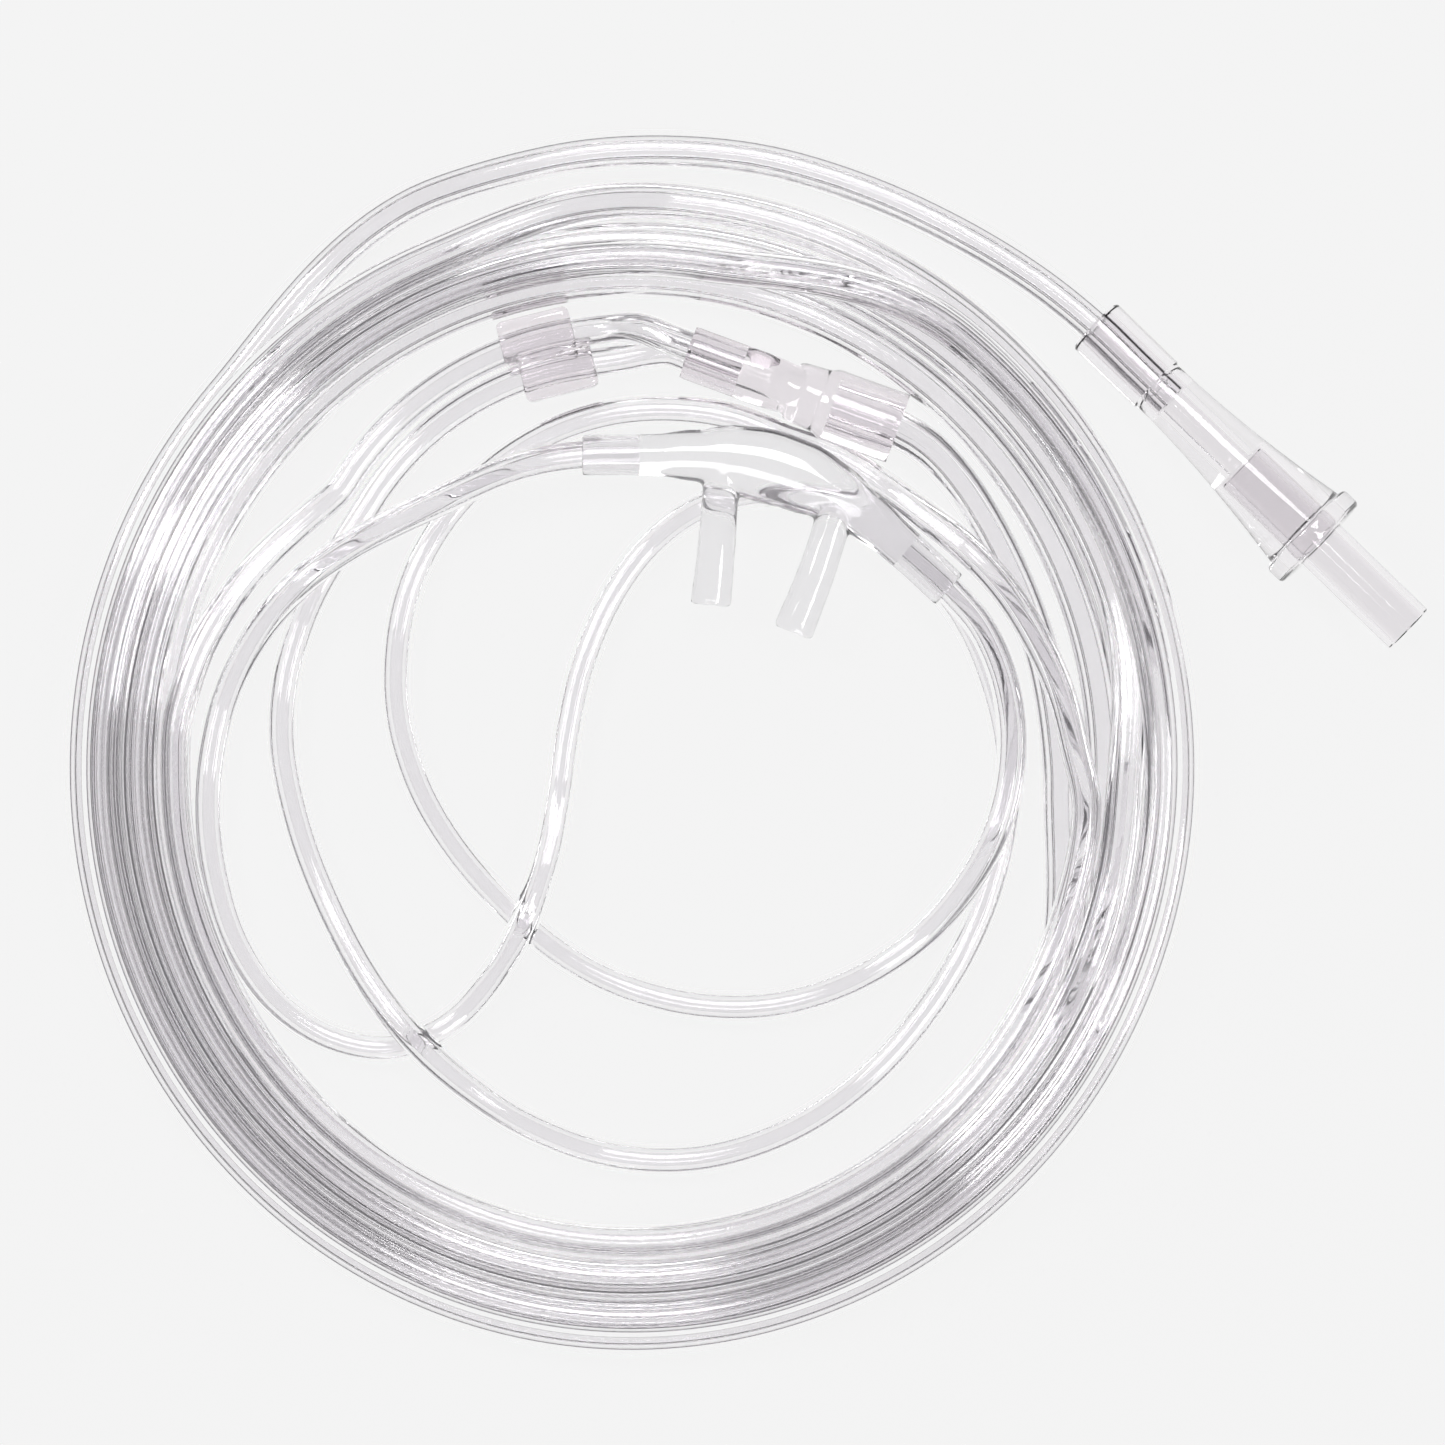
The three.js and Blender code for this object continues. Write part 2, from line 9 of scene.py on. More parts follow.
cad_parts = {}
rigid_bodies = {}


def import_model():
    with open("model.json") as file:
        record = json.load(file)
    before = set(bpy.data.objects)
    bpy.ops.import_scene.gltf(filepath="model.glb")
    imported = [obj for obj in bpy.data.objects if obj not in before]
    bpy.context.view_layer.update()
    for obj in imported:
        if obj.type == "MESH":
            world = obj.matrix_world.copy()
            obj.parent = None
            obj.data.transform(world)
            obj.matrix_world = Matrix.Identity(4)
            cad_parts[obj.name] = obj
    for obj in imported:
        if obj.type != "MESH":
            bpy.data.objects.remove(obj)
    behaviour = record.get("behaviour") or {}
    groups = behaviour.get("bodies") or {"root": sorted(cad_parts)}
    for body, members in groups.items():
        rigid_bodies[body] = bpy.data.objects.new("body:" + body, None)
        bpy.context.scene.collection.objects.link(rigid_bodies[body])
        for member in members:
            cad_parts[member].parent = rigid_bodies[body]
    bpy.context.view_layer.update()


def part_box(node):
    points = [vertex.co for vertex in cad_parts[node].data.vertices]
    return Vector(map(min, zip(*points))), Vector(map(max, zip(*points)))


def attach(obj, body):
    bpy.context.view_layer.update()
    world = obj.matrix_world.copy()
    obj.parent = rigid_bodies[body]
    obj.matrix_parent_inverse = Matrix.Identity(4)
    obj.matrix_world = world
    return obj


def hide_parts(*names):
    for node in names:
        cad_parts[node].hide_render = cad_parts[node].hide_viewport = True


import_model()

bl_info = {
    "name": "Nasal oxygen cannula",
    "version": (1, 0, 0),
    "blender": (4, 5, 0),
    "location": "View3D > Sidebar > Cannula",
    "description": "Builds the tubes, nosepiece, slider and connectors of a nasal oxygen cannula",
    "category": "Add Mesh",
}

MM = 0.001

# The routes are given from the middle of the coil and from the surface, in millimetres
COIL_LOW, COIL_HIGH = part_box("supply_coil")
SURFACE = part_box("slider")[0].z
ORIGIN = Vector(((COIL_LOW.x + COIL_HIGH.x) / 2, (COIL_LOW.y + COIL_HIGH.y) / 2, SURFACE))

# Room between pieces, and between a tube and the surface, in millimetres
GAP = 0.3
FLOOR_GAP = 0.02

# Y connector, along its axis from the leg mouths
LEG_MOUTH = Vector((7.18, 53.2, 0.0))
LEG_LEAD_IN = 2.2
CONNECTOR_TURN = math.radians(-20.0)
CONNECTOR_ROLL = math.radians(75.0)
LEG_OD = 5.4
LEG_PITCH = 5.0
LEG_LENGTH = 11.0
LEG_BLEND = 3.4
LEG_SOCKET = 7.5
LEG_BORE_RADIUS = 2.08
LEG_SPREAD_AT_HUB = 0.62
LEG_SPREAD_IN_HUB = 0.45
HUB_OD = 8.8
HUB_LENGTH = 4.4
HUB_INSETS = (1.4, 0.5, 0.4)
HUB_LEAD_IN = 1.2
HUB_SHOULDER = 0.6
HUB_BORE_STOP = 2.0
CHANNEL_RADIUS = 1.2
CHANNEL_RUN = 1.5
CHANNEL_OVERLAP = 0.5
SUPPLY_SOCKET_OD = 9.2
SUPPLY_SOCKET_LENGTH = 9.8
SUPPLY_SOCKET_DEPTH = 9.2
SUPPLY_SOCKET_STEP = 0.5
SUPPLY_BORE_RADIUS = 2.6
CONNECTOR_LENGTH = LEG_LENGTH + LEG_BLEND + HUB_LENGTH + SUPPLY_SOCKET_LENGTH
CONNECTOR_PAST = 1.0

# End connector and its nipple, along their axis from the collar's mouth
COLLAR_MOUTH = Vector((59.36, 56.67, 0.0))
COLLAR_OD = 7.9
COLLAR_LENGTH = 11.0
COLLAR_EDGE = 0.25
COLLAR_STEP = 0.2
COLLAR_BORE_DEPTH = 14.0
THROAT_RADIUS = 1.7
FUNNEL_START_RADIUS = 3.7
FUNNEL_END_RADIUS = 6.1
FUNNEL_FLARE = 1.8
FUNNEL_INSET = 0.1
FUNNEL_STEPS = 16
RIM_OD = 14.1
RIM_START = 37.4
RIM_THICKNESS = 2.8
RIM_ROUND = 0.7
RIM_STEPS = 5
END_TURN = math.radians(-44.4)
LIE_TILT = math.asin((RIM_OD - COLLAR_OD) / 2 / (RIM_START + RIM_ROUND))
NIPPLE_OD = 6.9
NIPPLE_WALL = 0.9
NIPPLE_ROOM = 0.12
NIPPLE_EDGE = 0.15
NIPPLE_START = 26.3
NIPPLE_END = 55.8

# Slider, and the arc of the lariat tubes that it follows
ARC_CENTRE = Vector((-1.15, 14.1, 0.0))
ARC_RADIUS = 40.1
ARC_NEAR_END = 97.0
ARC_FAR_END = 149.0
ARC_STEPS = 13
SLIDER_ANGLE = 104.0
SLIDER_COLLAR = 9.5
SLIDER_STEP = 1.6
SLIDER_WIDTH = 10.9
SLIDER_HEIGHT = 5.4
SLIDER_OVERLAP = 0.3
SLIDER_PLAY = GAP * 0.6
SLIDER_BORE_REACH = 11.0
SLIDER_BORE_STEPS = 8

# Nosepiece: half widths run along its body, shares of the tip along a prong
NOSE_HEIGHT = 6.8
NOSE_AXIS = [
    (-6.3, 40.0), (1.0, 40.0), (8.7, 39.9), (16.4, 38.8),
    (23.5, 36.4), (29.2, 32.8), (35.1, 27.8), (40.5, 22.8),
]
NOSE_HALF_WIDTHS = [2.6, 2.6, 2.7, 3.3, 4.4, 4.8, 4.6, 3.9, 3.1, 2.7, 2.6, 2.6]
NOSE_HALF_HEIGHT = 2.6
NOSE_LUMEN_RADIUS = 1.3
NOSE_SOCKET_RADIUS = 2.05
NOSE_SOCKET_DEPTH = 7.5
NOSE_PAST = 1.5
PRONG_AXES = [
    [(11.7, 39.2, 6.8), (11.2, 33.1, 6.8), (10.8, 27.9, 6.6), (10.1, 20.9, 6.0)],
    [(26.9, 35.0, 6.8), (25.4, 30.5, 6.8), (23.5, 24.7, 6.6), (20.6, 17.4, 6.0)],
]
PRONG_SHARES = (0.94, 0.9, 0.94, 1.0)
PRONG_BORE_SHARES = (0.85, 0.88, 0.95, 1.0, 1.0)

# Supply coil: its outer turn, and where the lead comes in and the tail goes out
COIL_HALF_WIDTH = 72.8
COIL_HALF_DEPTH = 75.4
OVALITY = COIL_HALF_DEPTH / COIL_HALF_WIDTH
LEAD_RADIUS = 54.9
TAIL_RADIUS = 75.72
COIL_STEP = 3.0
SHOULDER_START = -5
SHOULDER_TURN = 180
SHOULDER_STEPS = 14

# Distances between the rings of a tube, and the faces round it
SUPPLY_RING_STEP = 2.0
LARIAT_RING_STEP = 1.3
TUBE_SIDES = 24
LUMEN_SIDES = 20

# The photo's width in pixels and scale, the place at its middle, and the camera's lens
PHOTO_WIDTH = 1445
PIXELS_PER_MM = 7.8
PHOTO_MIDDLE = (11.6, 5.83, 0.0)
LENS = 200.0
SENSOR = 36.0

# Points of the tubes' routes, the same as the frame's
LEFT_START = [
    (1.0, 40.0, 6.8), (-2.6, 40.0, 6.8), (-6.3, 39.9, 6.8), (-11.8, 39.1, 6.8), (-16.9, 37.6, 6.7),
    (-23.3, 34.7, 6.7), (-29.7, 31.7, 6.8), (-36.2, 28.2, 7.0), (-42.6, 23.5, 6.7), (-47.9, 17.4, 4.0),
    (-51.8, 10.0, 2.3), (-53.8, 2.3, 1.95), (-54.4, -5.4, 1.95), (-53.6, -13.1, 1.95),
    (-50.9, -22.1, 1.95), (-45.8, -29.7, 1.95), (-38.7, -34.5, 1.95), (-30.8, -35.8, 1.95),
    (-23.7, -32.9, 1.95), (-18.2, -27.2, 3.4), (-13.7, -19.7, 6.4), (-10.8, -11.2, 3.7),
    (-9.5, -4.1, 1.95), (-8.2, 4.9, 1.95), (-6.3, 13.2, 1.95), (-2.8, 21.5, 1.95), (2.3, 28.6, 1.95),
    (8.7, 33.3, 1.95), (16.4, 35.4, 1.95), (24.1, 34.4, 1.95), (30.8, 31.2, 1.95), (36.9, 26.3, 1.95),
    (42.7, 19.0, 1.95), (46.5, 10.0, 1.95), (48.2, 1.0, 1.95), (47.4, -9.2, 1.95), (44.4, -19.5, 1.95),
    (38.8, -29.7, 1.95), (30.5, -39.4, 1.95), (20.3, -46.4, 1.95), (8.7, -50.0, 1.95),
    (-2.8, -49.6, 1.95), (-13.7, -45.6, 3.0), (-22.7, -39.4, 5.7), (-28.5, -33.8, 6.5),
    (-33.8, -26.9, 5.3), (-38.7, -17.9, 3.2), (-42.6, -8.0, 2.0), (-44.8, 2.3, 1.95), (-44.6, 10.0, 1.95),
    (-43.1, 16.4, 2.1), (-40.5, 22.8, 2.4),
]
LEFT_END = [(-1.4, 52.5, 2.7), (2.2, 53.2, 2.7)]
RIGHT_START = [
    (35.1, 27.8, 6.8), (37.8, 25.4, 6.8), (40.5, 22.8, 6.8), (44.4, 18.3, 6.6), (47.2, 12.3, 6.3),
    (48.5, 5.5, 6.2), (48.2, -1.5, 6.2), (46.2, -8.6, 6.2), (42.3, -15.4, 5.0), (36.3, -22.1, 3.0),
    (27.9, -27.4, 1.95), (18.3, -30.3, 1.95), (8.1, -30.3, 1.95), (-1.5, -27.8, 1.95),
    (-9.2, -23.7, 1.95), (-16.3, -17.6, 1.95), (-22.7, -10.3, 1.95), (-27.4, -2.2, 1.95),
    (-30.0, 6.8, 1.95), (-30.1, 15.8, 1.95), (-28.2, 24.1, 1.95), (-24.0, 31.8, 1.95),
    (-17.9, 38.2, 1.95), (-10.5, 42.9, 1.95), (-2.8, 45.4, 1.95), (4.9, 46.0, 1.95), (12.6, 45.0, 1.95),
    (19.6, 42.4, 1.95), (26.2, 40.0, 1.95), (32.1, 36.4, 2.7), (37.6, 32.2, 4.9), (43.1, 27.7, 7.2),
    (47.8, 22.6, 7.6), (51.7, 16.4, 7.6), (54.6, 10.0, 7.3), (56.5, 3.0, 6.9),
]
RIGHT_OFF = [
    (-57.1, 9.5, 6.6), (-55.0, 15.4, 6.3), (-51.8, 20.9, 5.6), (-47.6, 26.3, 4.4), (-42.5, 31.2, 3.2),
]
RIGHT_END = [(-2.6, 56.4, 3.4), (0.9, 56.3, 5.8)]
LEAD = [
    (38.0, 41.0, 4.5), (41.6, 37.2, 3.4), (45.0, 32.2, 2.7), (48.2, 26.2, 2.5), (50.8, 20.0, 2.47),
    (53.0, 13.0, 2.47), (54.3, 5.9, 2.47), (54.9, -1.0, 2.47),
]
TAIL = [
    (-24.8, 74.1, 2.47), (-16.4, 76.7, 2.47), (-5.4, 78.9, 2.47), (6.2, 79.3, 2.47), (17.7, 78.0, 2.47),
    (30.5, 74.1, 2.6), (42.1, 68.7, 2.9), (52.0, 62.6, 3.3),
]


# Sizes and colours that a user would change


class CannulaSizes(bpy.types.PropertyGroup):
    supply_diameter: bpy.props.FloatProperty(
        name="Supply tube", description="Outside diameter of the supply tube", default=0.0049,
        unit="LENGTH", precision=5,
    )
    lariat_diameter: bpy.props.FloatProperty(
        name="Lariat tube", description="Outside diameter of the two lariat tubes", default=0.00385,
        unit="LENGTH", precision=5,
    )
    supply_lumen: bpy.props.FloatProperty(
        name="Supply lumen", description="Mean diameter of the star-shaped lumen", default=0.0031,
        unit="LENGTH", precision=5,
    )
    lariat_lumen: bpy.props.FloatProperty(
        name="Lariat lumen", description="Diameter of the lariat tubes' lumen", default=0.0023,
        unit="LENGTH", precision=5,
    )
    prong_diameter: bpy.props.FloatProperty(
        name="Prong", description="Outside diameter of a prong at its tip", default=0.0052,
        unit="LENGTH", precision=5,
    )
    prong_bore: bpy.props.FloatProperty(
        name="Prong bore", description="Diameter of the opening in a prong", default=0.0040,
        unit="LENGTH", precision=5,
    )


class CannulaColours(bpy.types.PropertyGroup):
    tubing: bpy.props.FloatVectorProperty(
        name="Tubing", description="Tint of the clear tubing", subtype="COLOR", size=3,
        default=(0.977, 0.968, 0.980), min=0.0, max=1.0,
    )
    fitting: bpy.props.FloatVectorProperty(
        name="Fittings", description="Tint of the clear slider and Y connector", subtype="COLOR", size=3,
        default=(0.912, 0.872, 0.902), min=0.0, max=1.0,
    )
    connector: bpy.props.FloatVectorProperty(
        name="End connector", description="Tint of the clear end connector and its nipple", subtype="COLOR",
        size=3, default=(0.966, 0.952, 0.964), min=0.0, max=1.0,
    )
    soft: bpy.props.FloatVectorProperty(
        name="Nosepiece", description="Tint of the soft nosepiece", subtype="COLOR", size=3,
        default=(0.943, 0.936, 0.947), min=0.0, max=1.0,
    )
    ground: bpy.props.FloatVectorProperty(
        name="Ground", description="Colour of the plain ground", subtype="COLOR", size=3,
        default=(0.905, 0.905, 0.905), min=0.0, max=1.0,
    )


# Routes


def placed(point):
    """A point in millimetres from the middle of the coil, in the frame's metres."""
    return ORIGIN + Vector(point) * MM


def connector_matrix():
    """From the Y connector's own frame, in millimetres, to the coil's."""
    height = LEG_OD / 2 + FLOOR_GAP + LEG_PITCH / 2 * math.sin(CONNECTOR_ROLL)
    lift = Matrix.Translation(LEG_MOUTH + Vector((0, 0, height)))
    roll = Matrix.Rotation(CONNECTOR_ROLL - math.pi / 2, 4, "X")
    return lift @ Matrix.Rotation(CONNECTOR_TURN, 4, "Z") @ roll


def end_matrix():
    """From the end connector's own frame, in millimetres, to the coil's."""
    height = COLLAR_OD / 2 * math.cos(LIE_TILT) + FLOOR_GAP
    lift = Matrix.Translation(COLLAR_MOUTH + Vector((0, 0, height)))
    return lift @ Matrix.Rotation(END_TURN, 4, "Z") @ Matrix.Rotation(-LIE_TILT, 4, "Y")


def leg_insert(side):
    """The end of a lariat tube in its leg, from just outside the mouth inwards."""
    matrix = connector_matrix()
    depths = (-LEG_LEAD_IN, 0.0, LEG_SOCKET / 2, LEG_SOCKET - GAP)
    return [matrix @ Vector((depth, 0, side * LEG_PITCH / 2)) for depth in depths]


def on_arc(radius, degrees):
    """A point on a circle about the middle of the slider's arc, at half the slider's height."""
    angle = math.radians(degrees)
    return ARC_CENTRE + Vector((radius * math.cos(angle), radius * math.sin(angle), SLIDER_HEIGHT / 2))


def slide_arc(offset):
    """The stretch that the slider follows, for a tube beside the middle of the pair."""
    radius = ARC_RADIUS + offset
    span = ARC_NEAR_END - ARC_FAR_END
    return [on_arc(radius, ARC_FAR_END + span * i / ARC_STEPS) for i in range(ARC_STEPS + 1)]


def on_coil(radius, degrees, height):
    """A point on the coil's oval, by its half width there."""
    angle = math.radians(degrees)
    return Vector((radius * math.cos(angle), OVALITY * radius * math.sin(angle), height))


def shoulder(supply_od, lariat_od):
    """The right tube's stretch on the coil's inner shoulder."""
    reach = supply_od / 2 + lariat_od / 2 + GAP
    lift = math.sqrt(reach * reach - supply_od * supply_od / 4)
    inset = 3 * supply_od - supply_od / 2 - supply_od / 4 + lift * math.sqrt(3) / 2
    height = supply_od / 2 + supply_od * math.sqrt(3) / 4 + lift / 2
    return [
        on_coil(COIL_HALF_WIDTH - inset, SHOULDER_START - SHOULDER_TURN * i / SHOULDER_STEPS, height)
        for i in range(SHOULDER_STEPS + 1)
    ]


def eased(share):
    """A share from 0 to 1 with a soft start and end."""
    share = min(1.0, max(0.0, share))
    return share * share * (3 - 2 * share)


def coil_points(od):
    """Five clockwise turns: three on the surface, two in their grooves, from the lead to the tail."""
    low = od / 2 + FLOOR_GAP
    rise = od * math.sqrt(3) / 2
    inner = (2.5 * od, low)
    middle = (1.5 * od, low)
    upper_inner = (2 * od, low + rise)
    upper_outer = (od, low + rise)
    outer = (od / 2, low)
    lead = (COIL_HALF_WIDTH - LEAD_RADIUS, low)
    tail = (COIL_HALF_WIDTH - TAIL_RADIUS, low)

    # Changes of place: first and last angle, then inset and height before and after
    changes = [
        (-1, -34, lead, inner),
        (-364, -394, inner, middle),
        (-694, -724, middle, upper_inner),
        (-998, -1028, upper_inner, upper_outer),
        (-1328, -1358, upper_outer, outer),
        (-1661, -1691, outer, tail),
    ]

    # Rises where an upper turn is held off the turns below: angle, height and spread
    humps = [(-739, 0.7, 10), (-1069, 2.0, 16)]
    points = []
    angle = float(changes[0][0])
    while angle >= changes[-1][1]:
        inset, height = lead
        for start, end, before, after in changes:
            if angle <= start:
                share = eased((start - angle) / (start - end))
                inset = before[0] + (after[0] - before[0]) * share
                height = before[1] + (after[1] - before[1]) * share

                # A climb and a descent follow an arc round the turn beside them
                if after is upper_inner and share < 1:
                    swing = math.radians(180 - 60 * share)
                    inset = inner[0] + od * math.cos(swing)
                    height = low + od * math.sin(swing)
                if after is outer and share < 1:
                    swing = math.radians(60 - 60 * share)
                    inset = middle[0] - od * math.cos(swing)
                    height = low + od * math.sin(swing)
        for middle_angle, lift, spread in humps:
            height += lift * math.exp(-((angle - middle_angle) / spread) ** 2)
        points.append(on_coil(COIL_HALF_WIDTH - inset, angle, height))
        angle -= COIL_STEP
    return points


def smooth_route(points, step):
    """A centripetal Catmull-Rom curve through the points, sampled about every step."""
    line = [Vector(p) for p in points]
    line = [2 * line[0] - line[1]] + line + [2 * line[-1] - line[-2]]
    route = []
    for i in range(1, len(line) - 2):
        a, b, c, d = line[i - 1:i + 3]
        gap_ab = max(1e-4, (b - a).length ** 0.5)
        gap_bc = max(1e-4, (c - b).length ** 0.5)
        gap_cd = max(1e-4, (d - c).length ** 0.5)
        go_in = ((b - a) / gap_ab - (c - a) / (gap_ab + gap_bc) + (c - b) / gap_bc) * gap_bc
        go_out = ((c - b) / gap_bc - (d - b) / (gap_bc + gap_cd) + (d - c) / gap_cd) * gap_bc
        count = max(1, round((c - b).length / step))
        for k in range(count):
            t = k / count
            square, cube = t * t, t * t * t
            route.append(
                b * (2 * cube - 3 * square + 1) + c * (3 * square - 2 * cube)
                + go_in * (cube - 2 * square + t) + go_out * (cube - square)
            )
    route.append(line[-2].copy())
    return route


def length_of(route):
    return sum((b - a).length for a, b in zip(route, route[1:]))


# Meshes


def deselect_all():
    for obj in bpy.context.view_layer.objects:
        obj.select_set(False)
    bpy.context.view_layer.objects.active = None


def make_active(obj):
    deselect_all()
    obj.select_set(True)
    bpy.context.view_layer.objects.active = obj


def mesh_object(name, vertices, faces):
    mesh = bpy.data.meshes.new(name)
    mesh.from_pydata([tuple(v) for v in vertices], [], faces)
    mesh.validate()
    mesh.update()
    obj = bpy.data.objects.new(name, mesh)
    bpy.context.collection.objects.link(obj)
    return obj


def round_section(sides):
    return [(math.cos(2 * math.pi * i / sides), math.sin(2 * math.pi * i / sides)) for i in range(sides)]


def star_section(points, depth, per_point):
    """A star lumen of rounded points, so a kinked tube still lets gas through."""
    sides = points * per_point
    section = []
    for i in range(sides):
        angle = 2 * math.pi * i / sides
        radius = 1 + depth * math.cos(points * angle)
        section.append((radius * math.cos(angle), radius * math.sin(angle)))
    return section


def frames_along(route):
    """Two directions across the route at each point, carried along without twist."""
    tangents = []
    for i in range(len(route)):
        before = route[max(0, i - 1)]
        after = route[min(len(route) - 1, i + 1)]
        tangents.append((after - before).normalized())
    side = tangents[0].cross(Vector((0, 0, 1))).normalized()
    frames = []
    for tangent in tangents:
        side = (side - tangent * side.dot(tangent)).normalized()
        frames.append((side, tangent.cross(side)))
    return frames


def hollow_tube(name, route, outer_radius, lumen_radius, outer_section, lumen_section):
    """A tube wall along a route: an outer skin, a lumen skin and a flat ring at each end."""
    frames = frames_along(route)
    vertices = []
    faces = []
    starts = []
    for section, radius in ((outer_section, outer_radius), (lumen_section, lumen_radius)):
        starts.append(len(vertices))
        for point, (side, up) in zip(route, frames):
            for x, y in section:
                vertices.append(point + side * (x * radius) + up * (y * radius))
    sections = (outer_section, lumen_section)
    for section, start, inward in zip(sections, starts, (False, True)):
        count = len(section)
        for ring in range(len(route) - 1):
            for i in range(count):
                j = (i + 1) % count
                a = start + ring * count + i
                b = start + ring * count + j
                quad = (a, b, b + count, a + count)
                faces.append(quad if inward else tuple(reversed(quad)))
    obj = mesh_object(name, vertices, faces)
    for face in obj.data.polygons:
        face.material_index = 1 if face.vertices[0] >= starts[1] else 0
    make_active(obj)
    bpy.ops.object.mode_set(mode="EDIT")
    bpy.ops.mesh.select_all(action="DESELECT")
    bpy.ops.object.mode_set(mode="OBJECT")
    for ring in (0, len(route) - 1):
        for section, start in zip(sections, starts):
            for i in range(len(section)):
                obj.data.vertices[start + ring * len(section) + i].select = True
        bpy.ops.object.mode_set(mode="EDIT")
        bpy.ops.mesh.select_mode(type="EDGE")
        bpy.ops.mesh.bridge_edge_loops()
        bpy.ops.mesh.select_all(action="DESELECT")
        bpy.ops.mesh.select_mode(type="VERT")
        bpy.ops.object.mode_set(mode="OBJECT")
    bpy.ops.object.shade_smooth_by_angle(angle=math.radians(40))
    return obj


def solid_rod(name, points, radii, sides=40, step=0.6, half_height=None):
    """A closed rod along points in millimetres, with radii, and a half height where it isn't round."""
    route = smooth_route(points, step)
    total = length_of(route)
    frames = frames_along(route)
    vertices = []
    done = 0.0
    for k, (point, (side, up)) in enumerate(zip(route, frames)):
        if k:
            done += (point - route[k - 1]).length
        place = done / total * (len(radii) - 1)
        low = min(int(place), len(radii) - 2)
        radius = radii[low] + (radii[low + 1] - radii[low]) * eased(place - low)
        height = half_height if half_height else radius
        for x, y in round_section(sides):
            vertices.append(point + side * (x * radius) + up * (y * height))
    faces = []
    for ring in range(len(route) - 1):
        for i in range(sides):
            j = (i + 1) % sides
            a, b = ring * sides + i, ring * sides + j
            faces.append((a + sides, b + sides, b, a))
    last = (len(route) - 1) * sides
    faces.append(tuple(range(sides)))
    faces.append(tuple(last + i for i in reversed(range(sides))))
    return mesh_object(name, vertices, faces)


def turned(name, profile, sides=72):
    """A closed turned piece along X, from pairs of distance and radius, outside then inside."""
    deselect_all()
    bpy.ops.mesh.primitive_circle_add(
        vertices=sides, radius=profile[0][1], location=(profile[0][0], 0, 0), rotation=(0, math.pi / 2, 0),
    )
    obj = bpy.context.object
    obj.name = name
    bpy.ops.object.transform_apply(location=True, rotation=True, scale=True)
    bpy.ops.object.mode_set(mode="EDIT")
    bpy.ops.mesh.select_all(action="SELECT")
    for (along, radius), (next_along, next_radius) in zip(profile, profile[1:]):
        bpy.ops.mesh.extrude_edges_move(TRANSFORM_OT_translate={"value": (next_along - along, 0, 0)})
        share = next_radius / radius
        bpy.ops.transform.resize(value=(1, share, share), center_override=(next_along, 0, 0))
    bpy.ops.mesh.select_all(action="DESELECT")
    bpy.ops.mesh.select_mode(type="EDGE")
    bpy.ops.mesh.select_non_manifold(extend=False)
    bpy.ops.mesh.bridge_edge_loops()
    bpy.ops.mesh.select_all(action="SELECT")
    bpy.ops.mesh.normals_make_consistent(inside=False)
    bpy.ops.object.mode_set(mode="OBJECT")
    return obj


def apply_modifier(obj, kind, **settings):
    make_active(obj)
    modifier = obj.modifiers.new(kind.title(), kind)
    for key, value in settings.items():
        setattr(modifier, key, value)
    if bpy.ops.object.modifier_apply(modifier=modifier.name) != {"FINISHED"}:
        raise RuntimeError(f"{obj.name}: the {kind} modifier could not be applied")


def join_pieces(pieces):
    deselect_all()
    for piece in pieces:
        piece.select_set(True)
    bpy.context.view_layer.objects.active = pieces[0]
    bpy.ops.object.join()
    return pieces[0]


def moulded(pieces, voxel, smoothing):
    """One moulding from overlapping solids, with soft fillets where they meet."""
    whole = join_pieces(pieces)
    apply_modifier(whole, "REMESH", mode="VOXEL", voxel_size=voxel)
    apply_modifier(whole, "SMOOTH", factor=0.5, iterations=smoothing)
    return whole


def cut(obj, cutter):
    apply_modifier(obj, "BOOLEAN", operation="DIFFERENCE", solver="EXACT", object=cutter)
    bpy.data.objects.remove(cutter, do_unlink=True)


def settle(obj, matrix, name):
    """Moves a piece made in millimetres to its place in the frame, with the place in its mesh."""
    scale = Matrix.Scale(MM, 4)
    obj.data.transform(Matrix.Translation(ORIGIN) @ scale @ matrix)
    obj.data.update()
    obj.name = name
    obj.data.name = name
    make_active(obj)
    bpy.ops.object.shade_smooth_by_angle(angle=math.radians(35))
    return obj


# Materials


def clear_vinyl(name, tint, roughness, milk, grain_scale, grain_strength):
    """Clear plasticised vinyl: refraction, a soft gloss and faint drawing lines or ripples."""
    material = bpy.data.materials.new(name)
    material.use_nodes = True
    nodes, links = material.node_tree.nodes, material.node_tree.links
    shader = nodes["Principled BSDF"]
    shader.inputs["Base Color"].default_value = (*tint, 1)
    shader.inputs["Transmission Weight"].default_value = 1.0 - milk
    shader.inputs["IOR"].default_value = 1.45
    shader.inputs["Specular IOR Level"].default_value = 0.5
    place = nodes.new("ShaderNodeTexCoord")
    grain = nodes.new("ShaderNodeTexNoise")
    grain.inputs["Scale"].default_value = grain_scale
    grain.inputs["Detail"].default_value = 3.0
    links.new(place.outputs["Object"], grain.inputs["Vector"])
    spread = nodes.new("ShaderNodeMapRange")
    spread.inputs["To Min"].default_value = roughness * 0.6
    spread.inputs["To Max"].default_value = roughness * 1.5
    links.new(grain.outputs["Fac"], spread.inputs["Value"])
    links.new(spread.outputs["Result"], shader.inputs["Roughness"])
    bump = nodes.new("ShaderNodeBump")
    bump.inputs["Strength"].default_value = grain_strength
    bump.inputs["Distance"].default_value = 0.0002
    links.new(grain.outputs["Fac"], bump.inputs["Height"])
    links.new(bump.outputs["Normal"], shader.inputs["Normal"])
    return material


